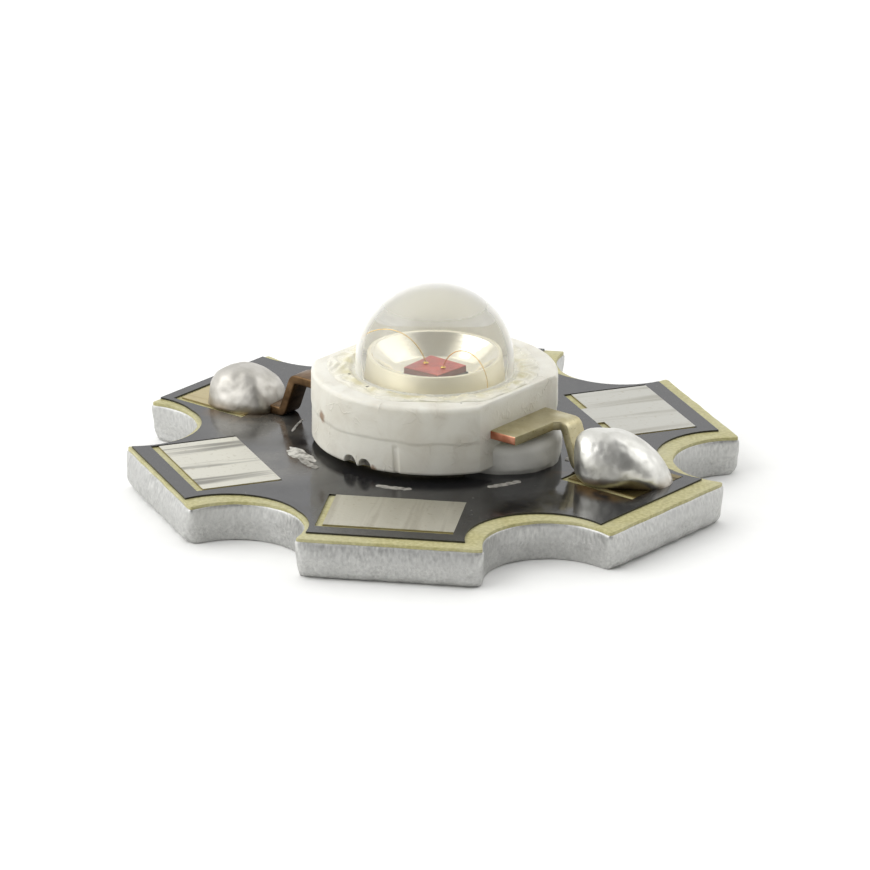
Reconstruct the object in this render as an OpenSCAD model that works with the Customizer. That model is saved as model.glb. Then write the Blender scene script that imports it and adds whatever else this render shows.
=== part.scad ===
// Star-shaped metal-core board with one domed power light-emitting diode soldered to it.
// Millimetres. Origin at the middle of the board's underside, +Z up, +X along the right-hand lead.

/* [Star board] */
// Size across two opposite straight edges of the star, at the top
across_flats = 19; // [18.4:0.1:20.4]
// Thickness of the aluminium core
core_t = 1.2; // [0.8:0.1:2]
// Diameter of the half-round screw notches between the lobes
notch_d = 4.2; // [3.4:0.1:4.4]
// Diameter of the circle that the notch centres lie on
notch_ring_d = 19.9; // [19.4:0.1:21]
// How far the punched wall stands out below the top edge
wall_flare = 0.12; // [0.02:0.02:0.3]
// Height of the widest line of the punched wall
flare_z = 0.5; // [0.4:0.05:0.7]
// Radius of the rolled lower edge of each lobe
edge_roll = 0.35; // [0.1:0.05:0.4]

/* [Circuit layers] */
// Thickness of the yellow insulating layer on the core
dielectric_t = 0.1; // [0.06:0.02:0.2]
// Thickness of the copper foil
copper_t = 0.035; // [0.018:0.001:0.07]
// Thickness of the black mask over the foil, and of the tin on the pads
mask_t = 0.025; // [0.01:0.005:0.04]
// Bare margin between the mask and the star's edge
mask_margin = 0.29; // [0.1:0.01:0.5]
// Least distance from the mask to a lobe's edge
mask_edge = 0.06; // [0.04:0.01:0.1]
// Least distance from the mask to a notch
mask_notch = 0.18; // [0.16:0.01:0.25]
// How much wider each mask opening is than its pad, on every side
mask_clear = 0.1; // [0.04:0.02:0.2]
// Offset of the copper artwork from the star, along X
copper_dx = -0.36; // [-0.45:0.01:0.45]
// Offset of the copper artwork from the star, along Y
copper_dy = 0.2; // [-0.3:0.01:0.3]
// Offset of the mask from the star, along X
mask_dx = -0.42; // [-0.5:0.01:0.5]
// Offset of the mask from the star, along Y
mask_dy = 0.06; // [-0.3:0.01:0.3]
// Distance from each notch to the side of a wire pad, across the lobe's waist
pad_side = 0.775; // [0.575:0.025:1.375]
// Length of every pad, from the middle outwards
pad_l = 2.7; // [2:0.1:3]
// Distance from the lobe's edge to the pads' outer edge
pad_edge = 0.95; // [0.7:0.05:1.2]
// Distance from the notch to the side of a lead's pad, across the lobe's waist
lead_pad_side = 0.575; // [0.475:0.025:0.9]
// How far a lead's pad reaches past the leg's middle, away from that notch
lead_pad_reach = 1.25; // [1:0.05:1.5]
// Diameter of the copper land under the heat slug
land_d = 6.6; // [6.2:0.1:7]
// Gap between separate copper areas
copper_gap = 0.35; // [0.2:0.05:0.5]
// Width of the curved copper track that joins three pads
track_w = 1.5; // [0.8:0.1:1.7]
// Width of the neck from the track to a pad
neck_w = 1.4; // [0.6:0.1:1.8]
// Diameter of the printed circle of dashes
dash_ring_d = 9.3; // [9:0.1:9.8]
// Width of a printed dash
dash_w = 0.28; // [0.15:0.01:0.4]
// Angle that one dash covers
dash_angle = 15; // [8:1:24]
// Number of dashes
dash_count = 8; // [4:1:12]
// Thickness of the ink
ink_t = 0.015; // [0.01:0.005:0.04]

/* [Emitter body] */
// Diameter of the moulded body
body_d = 8; // [7.7:0.1:8.4]
// Size across the body's two flats
body_flats = 6.92; // [6.8:0.02:7.4]
// Height of the moulded body
body_h = 2.25; // [2:0.05:2.6]
// Gap between the board and the body's underside
body_gap = 0.24; // [0.1:0.02:0.4]
// Height of the mould's parting line above the body's underside
parting_h = 1.05; // [0.8:0.05:1.4]
// Step of the side at the parting line
parting_step = 0.04; // [0.02:0.01:0.1]
// Rounding of the body's top edge
rim_round = 0.14; // [0.05:0.01:0.2]

/* [Heat slug] */
// Diameter of the slug's foot
slug_d = 5.8; // [5:0.1:6]
// Height of the slug's foot
slug_foot_h = 0.8; // [0.5:0.05:1]
// Diameter of the slug's post
slug_post_d = 3.1; // [2.8:0.05:3.2]
// Diameter of the reflector cup at its rim
cup_d = 2.86; // [2.4:0.02:2.94]
// Diameter of the reflector cup's floor
cup_floor_d = 1.7; // [1.6:0.05:1.9]
// Depth of the reflector cup
cup_depth = 0.35; // [0.25:0.01:0.5]
// Height of the cup's rim above the body's top face
cup_rise = 0.27; // [0.2:0.01:0.42]

/* [Leads] */
// Thickness of the lead metal
lead_t = 0.35; // [0.2:0.01:0.4]
// Height of the leads' underside above the body's underside
lead_h = 0.95; // [0.9:0.01:1.05]
// Width of the tab along the body's flat
tab_w = 2.9; // [2.4:0.1:3.2]
// How far the tab stands out from the flat
tab_out = 1; // [0.8:0.05:1.2]
// How far the tab's full width runs into the wall
tab_in = 0.5; // [0.2:0.05:0.6]
// Width of the leg and of the inner finger
leg_w = 0.8; // [0.5:0.05:1]
// How far past the tab the leg turns down
leg_bend = 0.3; // [0.2:0.05:0.5]
// How far the leg leans out on its way down
leg_lean = 0.45; // [0.1:0.05:0.6]
// Distance from the pad's outer edge to the end of the foot
foot_back = 1.95; // [1.6:0.05:2.3]
// Gap between the slug's post and the inner bond post
post_gap = 0.3; // [0.25:0.01:0.35]
// Distance from the lens down to the top of the bond post
post_drop = 0.05; // [0.02:0.01:0.1]
// Height of the bond posts above the floor of the hollow in the body
post_rise = 0.15; // [0.05:0.01:0.3]
// Clearance from the bond posts to the wall of the hollow in the body
cavity_clear = 0.15; // [0.1:0.01:0.3]

/* [Lens] */
// Diameter of the dome
dome_d = 5.14; // [5:0.02:5.4]
// Height of the dome's centre above the body's top face
dome_rise = 0.22; // [0.1:0.01:0.4]
// Thickness of the dome's wall
lens_wall = 0.55; // [0.5:0.01:0.6]
// Diameter of the lens flange
flange_d = 6.4; // [6:0.02:6.5]
// Thickness of the lens flange
flange_t = 0.3; // [0.2:0.02:0.4]
// Clearance round the flange in its seat
seat_clear = 0.03; // [0.01:0.01:0.06]

/* [Die and bond wires] */
// Side of the square die
die_w = 1; // [0.8:0.02:1.05]
// Thickness of the die
die_t = 0.15; // [0.1:0.01:0.2]
// Thickness of the silver glue under the die
glue_t = 0.03; // [0.02:0.005:0.05]
// How far the glue stands out round the die
glue_edge = 0.03; // [0.01:0.005:0.05]
// Diameter of a bond wire
wire_d = 0.05; // [0.03:0.005:0.06]
// Diameter of the ball where a wire meets the die
ball_d = 0.13; // [0.1:0.01:0.16]
// Height of that ball
ball_h = 0.05; // [0.03:0.005:0.07]
// Distance from the die's middle to each ball
ball_x = 0.25; // [0.15:0.01:0.35]
// Height of the left wire's loop above the die
loop_left = 0.56; // [0.52:0.01:0.66]
// Height of the right wire's loop above the die
loop_right = 0.62; // [0.52:0.01:0.68]

/* [Solder and adhesive] */
// Width of each solder mound
solder_d = 2.6; // [2.4:0.05:2.8]
// Height of the right solder mound above the board
right_solder_h = 1.65; // [1.45:0.05:1.9]
// Height of the left solder mound above the board
left_solder_h = 1.3; // [1:0.05:1.9]
// How much longer than wide the right solder mound is
right_solder_run = 0.7; // [0.1:0.05:0.9]
// How much longer than wide the left solder mound is
left_solder_run = 0.1; // [0.1:0.05:0.9]
// Angle of the mounds' long axis to the X axis
solder_turn = 38; // [0:1:90]
// How far the solder sits in from the pad's middle, towards the body
solder_in = 0.25; // [0:0.05:0.4]
// Thickness of the heat-conducting adhesive under the slug
glue_film = 0.04; // [0.02:0.01:0.08]
// Diameter of the adhesive pushed out beside the right-hand flat
puddle_d = 3.9; // [3.6:0.1:4.2]
// Height of the adhesive pushed out
puddle_h = 1; // [0.7:0.05:1.1]
// Rounding of its top edge
puddle_round = 0.3; // [0.1:0.05:0.4]
// How far it reaches out from the flat
puddle_out = 1.04; // [0.8:0.01:1.05]
// Its offset along the flat
puddle_dy = 0.35; // [0:0.05:0.6]

/* [Hidden] */
$fn = 96;
eps = 0.1;

lobes = 6;
lobe_step = 360 / lobes;
half_flat = across_flats / 2;
notch_r = notch_d / 2;
notch_ring_r = notch_ring_d / 2;
wide_flat = half_flat + wall_flare;
lobe_waist = notch_ring_r * sin(lobe_step / 2) - notch_r;

copper_shift = [copper_dx, copper_dy];
mask_shift = [mask_dx, mask_dy];
copper_z = core_t + dielectric_t;
tin_z = copper_z + copper_t;
board_z = tin_z + mask_t;

pad_out = half_flat - pad_edge;
pad_mid = pad_out - pad_l / 2;
pad_w = 2 * (lobe_waist - pad_side);
land_r = land_d / 2;
track_in = land_r + copper_gap;
track_out = track_in + track_w;

body_r = body_d / 2;
flat_x = body_flats / 2;
body_z = board_z + body_gap;
body_top = body_z + body_h;

slug_z = board_z + glue_film;
slug_r = slug_d / 2;
post_r = slug_post_d / 2;
foot_top = slug_z + slug_foot_h;
cup_top = body_top + cup_rise;
cup_floor = cup_top - cup_depth;
die_z = cup_floor + glue_t;
die_top = die_z + die_t;

lead_z = body_z + lead_h;
lead_mid = lead_z + lead_t / 2;
foot_mid = board_z + lead_t / 2;
leg_y = tab_w / 2 - leg_w;
leg_mid_y = leg_y + leg_w / 2;
lead_pad_low = leg_mid_y - lead_pad_reach;
lead_pad_high = lobe_waist - lead_pad_side;
bend_x = flat_x + tab_out + leg_bend;
foot_end = pad_out - foot_back;
bond_in = post_r + post_gap;
cavity_r = bond_in + lead_t + cavity_clear;

seat_z = body_top - flange_t;
flange_r = flange_d / 2;
seat_r = flange_r + seat_clear;
dome_r = dome_d / 2;
dome_z = body_top + dome_rise;
hollow_r = dome_r - lens_wall;
bond_top = seat_z - post_drop;
cavity_z = bond_top - post_rise;

solder_r = solder_d / 2;
solder_x = pad_mid - solder_in;
puddle_r = puddle_d / 2;
puddle_x = flat_x + puddle_out - puddle_r;

// Hexagon with its flats at the lobes, less the notches, which are round inside and open outwards
module star(flat, r) {
    corner = flat / cos(lobe_step / 2);
    difference() {
        polygon([for (k = [0:lobes - 1]) corner * [cos(lobe_step * (k + 0.5)), sin(lobe_step * (k + 0.5))]]);
        for (k = [0:lobes - 1])
            rotate(lobe_step * (k + 0.5))
                translate([notch_ring_r, 0]) {
                    circle(r = r);
                    translate([0, -r])
                        square([corner, 2 * r]);
                }
    }
}

// Section of one lobe's punched wall: straight draft above, rolled edge below
module lobe_section() {
    polygon([
        [0, 0], [wide_flat - edge_roll, 0], [wide_flat - edge_roll, edge_roll], [wide_flat, edge_roll],
        [wide_flat, flare_z], [half_flat, core_t], [0, core_t]
    ]);
    translate([wide_flat - edge_roll, edge_roll])
        circle(r = edge_roll);
}

module base_plate() {
    color("#B8B9B8")
    difference() {
        linear_extrude(core_t)
            star(wide_flat, notch_r);
        for (k = [0:lobes - 1])
            rotate([90, 0, lobe_step * k])
                linear_extrude(across_flats, center = true)
                    difference() {
                        translate([half_flat - edge_roll, -eps])
                            square([wall_flare + edge_roll + eps, core_t + 2 * eps]);
                        lobe_section();
                    }
    }
}

module dielectric_layer() {
    color("#BDB684")
    translate([0, 0, core_t])
        linear_extrude(dielectric_t)
            star(half_flat, notch_r);
}

// A pad on the lobe that points along +X, grown by g on every side
module wire_pad_outline(g = 0) {
    translate([pad_mid, 0])
        square([pad_l + 2 * g, pad_w + 2 * g], center = true);
}

module lead_pad_outline(g = 0) {
    translate([pad_mid - pad_l / 2 - g, lead_pad_low - g])
        square([pad_l + 2 * g, lead_pad_high - lead_pad_low + 2 * g]);
}

// Foil of one pole: a half ring with two wire pads and the lead's pad between them
module foil_half() {
    difference() {
        circle(r = track_out);
        circle(r = track_in);
        translate([copper_gap / 2 - 2 * track_out, -track_out])
            square(2 * track_out);
    }
    for (turn = [-lobe_step, lobe_step])
        rotate(turn) {
            wire_pad_outline();
            foil_neck(0);
        }
    lead_pad_outline();
    foil_neck(leg_mid_y);
}

module foil_neck(y) {
    translate([track_out - track_w / 2, y - neck_w / 2])
        square([pad_mid - track_out + track_w / 2, neck_w]);
}

module foil_side(turn) {
    translate(copper_shift)
        rotate(turn)
            foil_half();
}

module right_copper() {
    color("#B87344")
    translate([0, 0, copper_z])
        linear_extrude(copper_t)
            foil_side(0);
}

module left_copper() {
    color("#B87344")
    translate([0, 0, copper_z])
        linear_extrude(copper_t)
            foil_side(180);
}

module land_outline(g = 0) {
    circle(r = land_r + g);
}

module heat_land() {
    color("#B87344")
    translate([0, 0, copper_z])
        linear_extrude(copper_t)
            translate(copper_shift)
                land_outline();
}

module mask_outline() {
    intersection() {
        star(half_flat - mask_edge, notch_r + mask_notch);
        translate(mask_shift)
            star(half_flat - mask_margin, notch_r + mask_margin);
    }
}

// Openings in the mask: two wire pads and a lead pad on each side, and the land under the slug
module mask_openings() {
    for (turn = [0, 180]) {
        for (lobe = [-lobe_step, lobe_step])
            rotate(turn + lobe)
                wire_pad_outline(mask_clear);
        rotate(turn)
            lead_pad_outline(mask_clear);
    }
    land_outline(mask_clear);
}

module solder_mask() {
    color("#2C2C2E")
    difference() {
        translate([0, 0, copper_z])
            linear_extrude(copper_t + mask_t)
                difference() {
                    mask_outline();
                    translate(mask_shift)
                        mask_openings();
                }
        right_copper();
        left_copper();
        heat_land();
    }
}

module printed_dashes() {
    color("#D9D6CB")
    translate([0, 0, board_z])
        for (k = [0:dash_count - 1])
            rotate(360 / dash_count * (k + 0.5) - dash_angle / 2)
                rotate_extrude(angle = dash_angle)
                    translate([(dash_ring_d - dash_w) / 2, 0])
                        square([dash_w, ink_t]);
}

// Tin on the bare foil inside one mask opening
module tinned(side, turn) {
    color("#C9C6BA")
    translate([0, 0, tin_z])
        linear_extrude(mask_t)
            intersection() {
                foil_side(side);
                translate(mask_shift)
                    rotate(turn)
                        children();
            }
}

module right_front_wire_pad() {
    tinned(0, -lobe_step)
        wire_pad_outline(mask_clear);
}

module right_back_wire_pad() {
    tinned(0, lobe_step)
        wire_pad_outline(mask_clear);
}

module left_front_wire_pad() {
    tinned(180, 180 + lobe_step)
        wire_pad_outline(mask_clear);
}

module left_back_wire_pad() {
    tinned(180, 180 - lobe_step)
        wire_pad_outline(mask_clear);
}

module right_lead_pad() {
    tinned(0, 0)
        lead_pad_outline(mask_clear);
}

module left_lead_pad() {
    tinned(180, 180)
        lead_pad_outline(mask_clear);
}

// White adhesive: film under the slug, and what was pushed out below the right-hand lead
module heat_adhesive() {
    color("#E9E8E2")
    difference() {
        union() {
            translate([mask_dx, mask_dy, copper_z])
                linear_extrude(copper_t + mask_t)
                    land_outline(mask_clear);
            translate([0, 0, board_z])
                cylinder(r = slug_r, h = glue_film);
            translate([puddle_x, puddle_dy, board_z])
                rotate_extrude()
                    puddle_section();
        }
        heat_land();
        printed_dashes();
        heat_slug();
        body_block();
    }
}

module puddle_section() {
    square([puddle_r, puddle_h - puddle_round]);
    square([puddle_r - puddle_round, puddle_h]);
    intersection() {
        translate([puddle_r - puddle_round, puddle_h - puddle_round])
            circle(r = puddle_round);
        square([puddle_r, puddle_h]);
    }
}

// Copper slug with a round foot and the reflector cup pressed into its top
module heat_slug() {
    color("#C9C9C6")
    rotate_extrude()
        polygon([
            [0, slug_z], [slug_r, slug_z], [slug_r, foot_top], [post_r, foot_top], [post_r, cup_top],
            [cup_d / 2, cup_top], [cup_floor_d / 2, cup_floor], [0, cup_floor]
        ]);
}

module body_section() {
    square([body_r - parting_step, parting_h]);
    translate([0, parting_h])
        square([body_r, body_h - parting_h - rim_round]);
    square([body_r - rim_round, body_h]);
    intersection() {
        translate([body_r - rim_round, body_h - rim_round])
            circle(r = rim_round);
        square([body_r, body_h]);
    }
}

// Outside of the moulded body, with its two flats
module body_block() {
    difference() {
        translate([0, 0, body_z])
            rotate_extrude()
                body_section();
        for (side = [0, 180])
            rotate(side)
                translate([flat_x, -body_r, body_z - eps])
                    cube([body_r, body_d, body_h + 2 * eps]);
    }
}

module emitter_body() {
    color("#E6E4DC")
    difference() {
        body_block();
        translate([0, 0, seat_z])
            cylinder(r = seat_r, h = flange_t + eps);
        translate([0, 0, cavity_z])
            cylinder(r = cavity_r, h = seat_z - cavity_z + eps);
        translate([0, 0, body_z - eps])
            cylinder(r = slug_r, h = foot_top - body_z + eps);
        cylinder(r = post_r, h = seat_z);
        lead_shape();
        rotate(180)
            lead_shape();
    }
}

// Bar of the lead's thickness along a run of points, round at the bends
module bent_strip(run) {
    for (k = [0:len(run) - 2]) {
        step = run[k + 1] - run[k];
        translate(run[k])
            rotate(atan2(step.y, step.x))
                translate([0, -lead_t / 2])
                    square([norm(step), lead_t]);
    }
    for (k = [1:len(run) - 2])
        translate(run[k])
            circle(d = lead_t);
}

// Lead on the +X side: tab, inner finger with its bond post, and the leg bent down to the pad
module lead_shape() {
    translate([flat_x - tab_in, -tab_w / 2, lead_z])
        cube([tab_in + tab_out, tab_w, lead_t]);
    translate([bond_in, -leg_w / 2, lead_z])
        cube([flat_x - bond_in, leg_w, lead_t]);
    translate([bond_in, -leg_w / 2, lead_z])
        cube([lead_t, leg_w, bond_top - lead_z]);
    translate([0, leg_y + leg_w, 0])
        rotate([90, 0, 0])
            linear_extrude(leg_w)
                bent_strip([
                    [flat_x, lead_mid], [bend_x, lead_mid], [bend_x + leg_lean, foot_mid], [foot_end, foot_mid]
                ]);
}

module right_lead() {
    color("#A89B78")
    lead_shape();
}

module left_lead() {
    color("#A89B78")
    rotate(180)
        lead_shape();
}

module die_glue() {
    color("#9C9C9A")
    translate([0, 0, cup_floor + glue_t / 2])
        cube([die_w + 2 * glue_edge, die_w + 2 * glue_edge, glue_t], center = true);
}

module led_die() {
    color("#C8605A")
    translate([0, 0, die_z + die_t / 2])
        cube([die_w, die_w, die_t], center = true);
}

// Middle of the circle through three points
function circle_mid(a, b, c) =
    let (
        d = 2 * (a.x * (b.y - c.y) + b.x * (c.y - a.y) + c.x * (a.y - b.y)),
        aa = a * a,
        bb = b * b,
        cc = c * c
    )
    [
        (aa * (b.y - c.y) + bb * (c.y - a.y) + cc * (a.y - b.y)) / d,
        (aa * (c.x - b.x) + bb * (a.x - c.x) + cc * (b.x - a.x)) / d
    ];

// Gold wire in the XZ plane: an arc from the ball on the die, over the loop's top, to the bond post
module bond_wire(loop) {
    start = [ball_x, die_top + ball_h / 2];
    finish = [bond_in + wire_d, bond_top];
    top = [(start.x + finish.x) / 2, die_top + loop];
    mid = circle_mid(start, top, finish);
    radius = norm(start - mid);
    from = atan2(finish.y - mid.y, finish.x - mid.x);
    to = atan2(start.y - mid.y, start.x - mid.x);
    span = to > from ? to - from : to - from + 360;
    difference() {
        union() {
            translate([mid.x, 0, mid.y])
                rotate([90, 0, 0])
                    rotate(from)
                        rotate_extrude(angle = span)
                            translate([radius, 0])
                                circle(d = wire_d, $fn = 32);
            translate([ball_x, 0, die_top])
                cylinder(d = ball_d, h = ball_h);
        }
        led_die();
        lead_shape();
    }
}

module right_bond_wire() {
    color("#D8A83C")
    bond_wire(loop_right);
}

module left_bond_wire() {
    color("#D8A83C")
    rotate(180)
        bond_wire(loop_left);
}

// Hollow under the lens and above the cavity's floor
module gel_space() {
    translate([0, 0, cavity_z])
        cylinder(r = cavity_r, h = seat_z - cavity_z);
    rotate_extrude()
        lens_hollow();
}

module clear_gel() {
    color("#F2F0E4", 0.4)
    difference() {
        gel_space();
        heat_slug();
        lead_shape();
        rotate(180)
            lead_shape();
        die_glue();
        led_die();
        bond_wire(loop_right);
        rotate(180)
            bond_wire(loop_left);
    }
}

module lens_hollow() {
    translate([0, seat_z])
        square([hollow_r, dome_z - seat_z]);
    quarter_round(hollow_r);
}

// Upper right quarter of a circle about the dome's centre
module quarter_round(r) {
    translate([0, dome_z])
        intersection() {
            circle(r = r);
            square(r);
        }
}

module lens() {
    color("#F4F4F0", 0.35)
    rotate_extrude()
        difference() {
            union() {
                translate([0, seat_z])
                    square([flange_r, flange_t]);
                translate([0, body_top - eps])
                    square([dome_r, dome_rise + eps]);
                quarter_round(dome_r);
            }
            lens_hollow();
        }
}

// Half section of a mound, lengthened by run along its axis
module mound_half(run) {
    intersection() {
        translate([0, -run - solder_d])
            square([solder_d, 2 * run + 2 * solder_d]);
        union() {
            translate([0, -run / 2])
                square([solder_r, run]);
            for (end = [-run / 2, run / 2])
                translate([0, end])
                    circle(r = solder_r);
        }
    }
}

// Mound of solder over the lead's foot on the +X lobe
module solder_mound(height, run) {
    difference() {
        translate([solder_x, leg_mid_y, board_z + height - solder_r])
            rotate([90, 0, solder_turn + 90])
                rotate_extrude()
                    mound_half(run);
        translate([solder_x - 2 * solder_d, leg_mid_y - 2 * solder_d, board_z - solder_d])
            cube([4 * solder_d, 4 * solder_d, solder_d]);
        lead_shape();
    }
}

module right_solder() {
    color("#C4C4C2")
    solder_mound(right_solder_h, right_solder_run);
}

module left_solder() {
    color("#C4C4C2")
    rotate(180)
        solder_mound(left_solder_h, left_solder_run);
}

base_plate();
dielectric_layer();
right_copper();
left_copper();
heat_land();
solder_mask();
printed_dashes();
right_front_wire_pad();
right_back_wire_pad();
left_front_wire_pad();
left_back_wire_pad();
right_lead_pad();
left_lead_pad();
heat_adhesive();
heat_slug();
emitter_body();
right_lead();
left_lead();
die_glue();
led_die();
right_bond_wire();
left_bond_wire();
clear_gel();
lens();
right_solder();
left_solder();
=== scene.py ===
import math
from functools import partial

import bpy
import numpy as np
from mathutils import Euler, Matrix, Vector


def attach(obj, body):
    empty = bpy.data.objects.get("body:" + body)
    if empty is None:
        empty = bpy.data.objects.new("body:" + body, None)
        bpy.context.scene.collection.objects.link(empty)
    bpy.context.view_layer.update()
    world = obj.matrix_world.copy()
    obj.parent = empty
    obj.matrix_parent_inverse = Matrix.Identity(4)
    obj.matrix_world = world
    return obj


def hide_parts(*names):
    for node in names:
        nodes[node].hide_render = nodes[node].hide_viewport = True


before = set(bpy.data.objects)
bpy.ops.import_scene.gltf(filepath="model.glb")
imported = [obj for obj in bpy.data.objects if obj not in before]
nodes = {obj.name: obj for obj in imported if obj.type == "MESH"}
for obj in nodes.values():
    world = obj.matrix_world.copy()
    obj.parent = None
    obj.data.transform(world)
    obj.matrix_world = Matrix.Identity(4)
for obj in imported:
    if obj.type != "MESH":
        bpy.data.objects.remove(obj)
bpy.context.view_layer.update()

scene = bpy.context.scene
scene.view_settings.view_transform = "Standard"
mm = 0.001
print("frame loaded,", len(nodes), "nodes")


def colour(hexText):
    # sRGB hex to linear RGBA
    channels = [int(hexText[k:k + 2], 16) / 255 for k in (1, 3, 5)]
    return [c / 12.92 if c <= 0.04045 else ((c + 0.055) / 1.055) ** 2.4 for c in channels] + [1.0]


def addNode(tree, kind, inputs=None, out=0, **settings):
    # one node with its settings and what feeds it: a link, a hex colour or a number; gives one of its outputs
    node = tree.nodes.new("ShaderNode" + kind)
    for key, value in settings.items():
        setattr(node, key, value)
    for key, value in (inputs or {}).items():
        if isinstance(value, bpy.types.NodeSocket):
            tree.links.new(value, node.inputs[key])
        else:
            node.inputs[key].default_value = colour(value) if isinstance(value, str) else value
    return node.outputs[out]


blend = {"out": 2, "data_type": "RGBA"}  # makes a Mix node mix colours
eased = {"interpolation_type": "SMOOTHSTEP"}  # makes a Map Range node start and end softly


def span(value, low, high, least=0.0, most=1.0):
    # what a Map Range node takes: the value from low to high becomes least to most
    return {"Value": value, "From Min": low, "From Max": high, "To Min": least, "To Max": most}


def sized(place, size, detail=2.0):
    # what a pattern takes whose features are about the size in mm
    return {"Vector": place, "Scale": 1 / (size * mm), "Detail": detail}


def startMaterial(name, constants):
    # a principled shader with the numbers that are the same all over; gives also what adds nodes to it, and the
    # place on the piece, from which every pattern starts
    material = bpy.data.materials.new(name)
    material.use_nodes = True
    for key, value in constants.items():
        material.node_tree.nodes["Principled BSDF"].inputs[key].default_value = value
    add = partial(addNode, material.node_tree)
    return material, add, add("TexCoord", out="Object")


def feed(material, *values, sockets=("Base Color", "Roughness", "Normal")):
    # what varies over the piece, linked to the shader
    tree = material.node_tree
    for key, value in zip(sockets, values):
        tree.links.new(value, tree.nodes["Principled BSDF"].inputs[key])
    return material


def fromAxis(add, place):
    # distance from the Z axis
    level = add("VectorMath", {0: place, 1: (1.0, 1.0, 0.0)}, operation="MULTIPLY")
    return add("VectorMath", {0: level}, "Value", operation="LENGTH")


def lumps(points, size, seed, waves=24):
    # smooth random field: sum of plane waves in seeded directions, wavelengths about the size in mm, spread 1
    rng = np.random.default_rng(seed)
    aim = rng.normal(size=(waves, 3))
    aim *= 2 * np.pi / (size * rng.uniform(0.7, 1.4, (waves, 1)) * np.linalg.norm(aim, axis=1, keepdims=True))
    return np.cos(points @ aim.T + rng.uniform(0, 2 * np.pi, waves)).sum(-1) * math.sqrt(2 / waves)


def ease(low, high, value):
    # 0 below low, 1 above high, smooth between
    t = np.clip((value - low) / (high - low), 0, 1)
    return t * t * (3 - 2 * t)


def buildPiece(name, grids, material, replaced=(), sharp=40, ring=False):
    # each grid (rows, columns round, xyz in mm) becomes a closed skin: quads between rows, then a fan from
    # each end row to its middle, or for a ring quads from the last row to the first
    points, faces, start = [], [], 0
    for grid in grids:
        rows, columns = grid.shape[:2]
        index = np.arange(rows * columns).reshape(rows, columns)
        if ring:
            index = np.concatenate([index, index[:1]])
        beside = np.roll(index, -1, 1)
        skin = np.stack([index[:-1], beside[:-1], beside[1:], index[1:]], -1).reshape(-1, 4)
        fans = np.zeros((0, 3), int)
        spots = grid.reshape(-1, 3)
        if not ring:
            spots = np.concatenate([spots, grid[:1].mean(1), grid[-1:].mean(1)])
            middle = np.full(columns, rows * columns)
            fans = np.concatenate([np.stack([beside[0], index[0], middle], -1),
                                   np.stack([index[-1], beside[-1], middle + 1], -1)])
        corners = spots[np.concatenate([skin[:, :3], skin[:, [0, 2, 3]], fans])]
        outward = np.einsum("ij,ij->i", corners[:, 0], np.cross(corners[:, 1], corners[:, 2])).sum() > 0
        for block in (skin, fans):
            faces += ((block if outward else block[:, ::-1]) + start).tolist()
        points.append(spots)
        start += len(spots)
    mesh = bpy.data.meshes.new(name)
    mesh.from_pydata((np.concatenate(points) * mm).tolist(), [], faces)
    mesh.polygons.foreach_set("use_smooth", np.ones(len(mesh.polygons), bool))
    mesh.set_sharp_from_angle(angle=math.radians(sharp))
    mesh.materials.append(material)
    piece = bpy.data.objects.new(name, mesh)
    scene.collection.objects.link(piece)
    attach(piece, "root")
    if replaced:
        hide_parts(*replaced)
    print("piece", name, len(mesh.polygons), "faces")


def circle(count):
    # angles once round, in a row
    return np.linspace(0, 2 * np.pi, count, endpoint=False)[None]


def ringed(radius, turn, z):
    # points from their distance to the Z axis, angle and height
    return np.stack(np.broadcast_arrays(radius * np.cos(turn), radius * np.sin(turn), z), -1)


def revolve(profile, columns):
    # profile of (radius, height) carried round the Z axis
    profile = np.asarray(profile, float)
    return ringed(profile[:, :1], circle(columns), profile[:, 1:])


def halfTurn(grids, turned):
    # the left-hand copy is the right-hand one turned half round the Z axis
    return [grid * ([-1, -1, 1] if turned else [1, 1, 1]) for grid in grids]


def dress(material, *names):
    # a CAD node keeps its mesh and takes a finished material
    for name in names:
        nodes[name].material_slots[0].material = material


star = {"halfFlat": 9.5, "notchR": 2.1, "notchRing": 9.95, "topWear": 0.16, "footWear": 0.38, "columns": 768,
        "coreTop": 1.2, "flare": 0.118, "flareZ": 0.5, "roll": 0.35, "notchRoll": 0.1, "tear": 0.02, "rub": 0.03,
        "resinTop": 1.3, "resinLow": 1.195, "ragged": 0.012, "innerR": 7.0, "firstColumn": -0.2484, "crowd": 0.35,
        "lobeBlur": 0.2, "edgePoints": 240, "arcPoints": 300}


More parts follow.
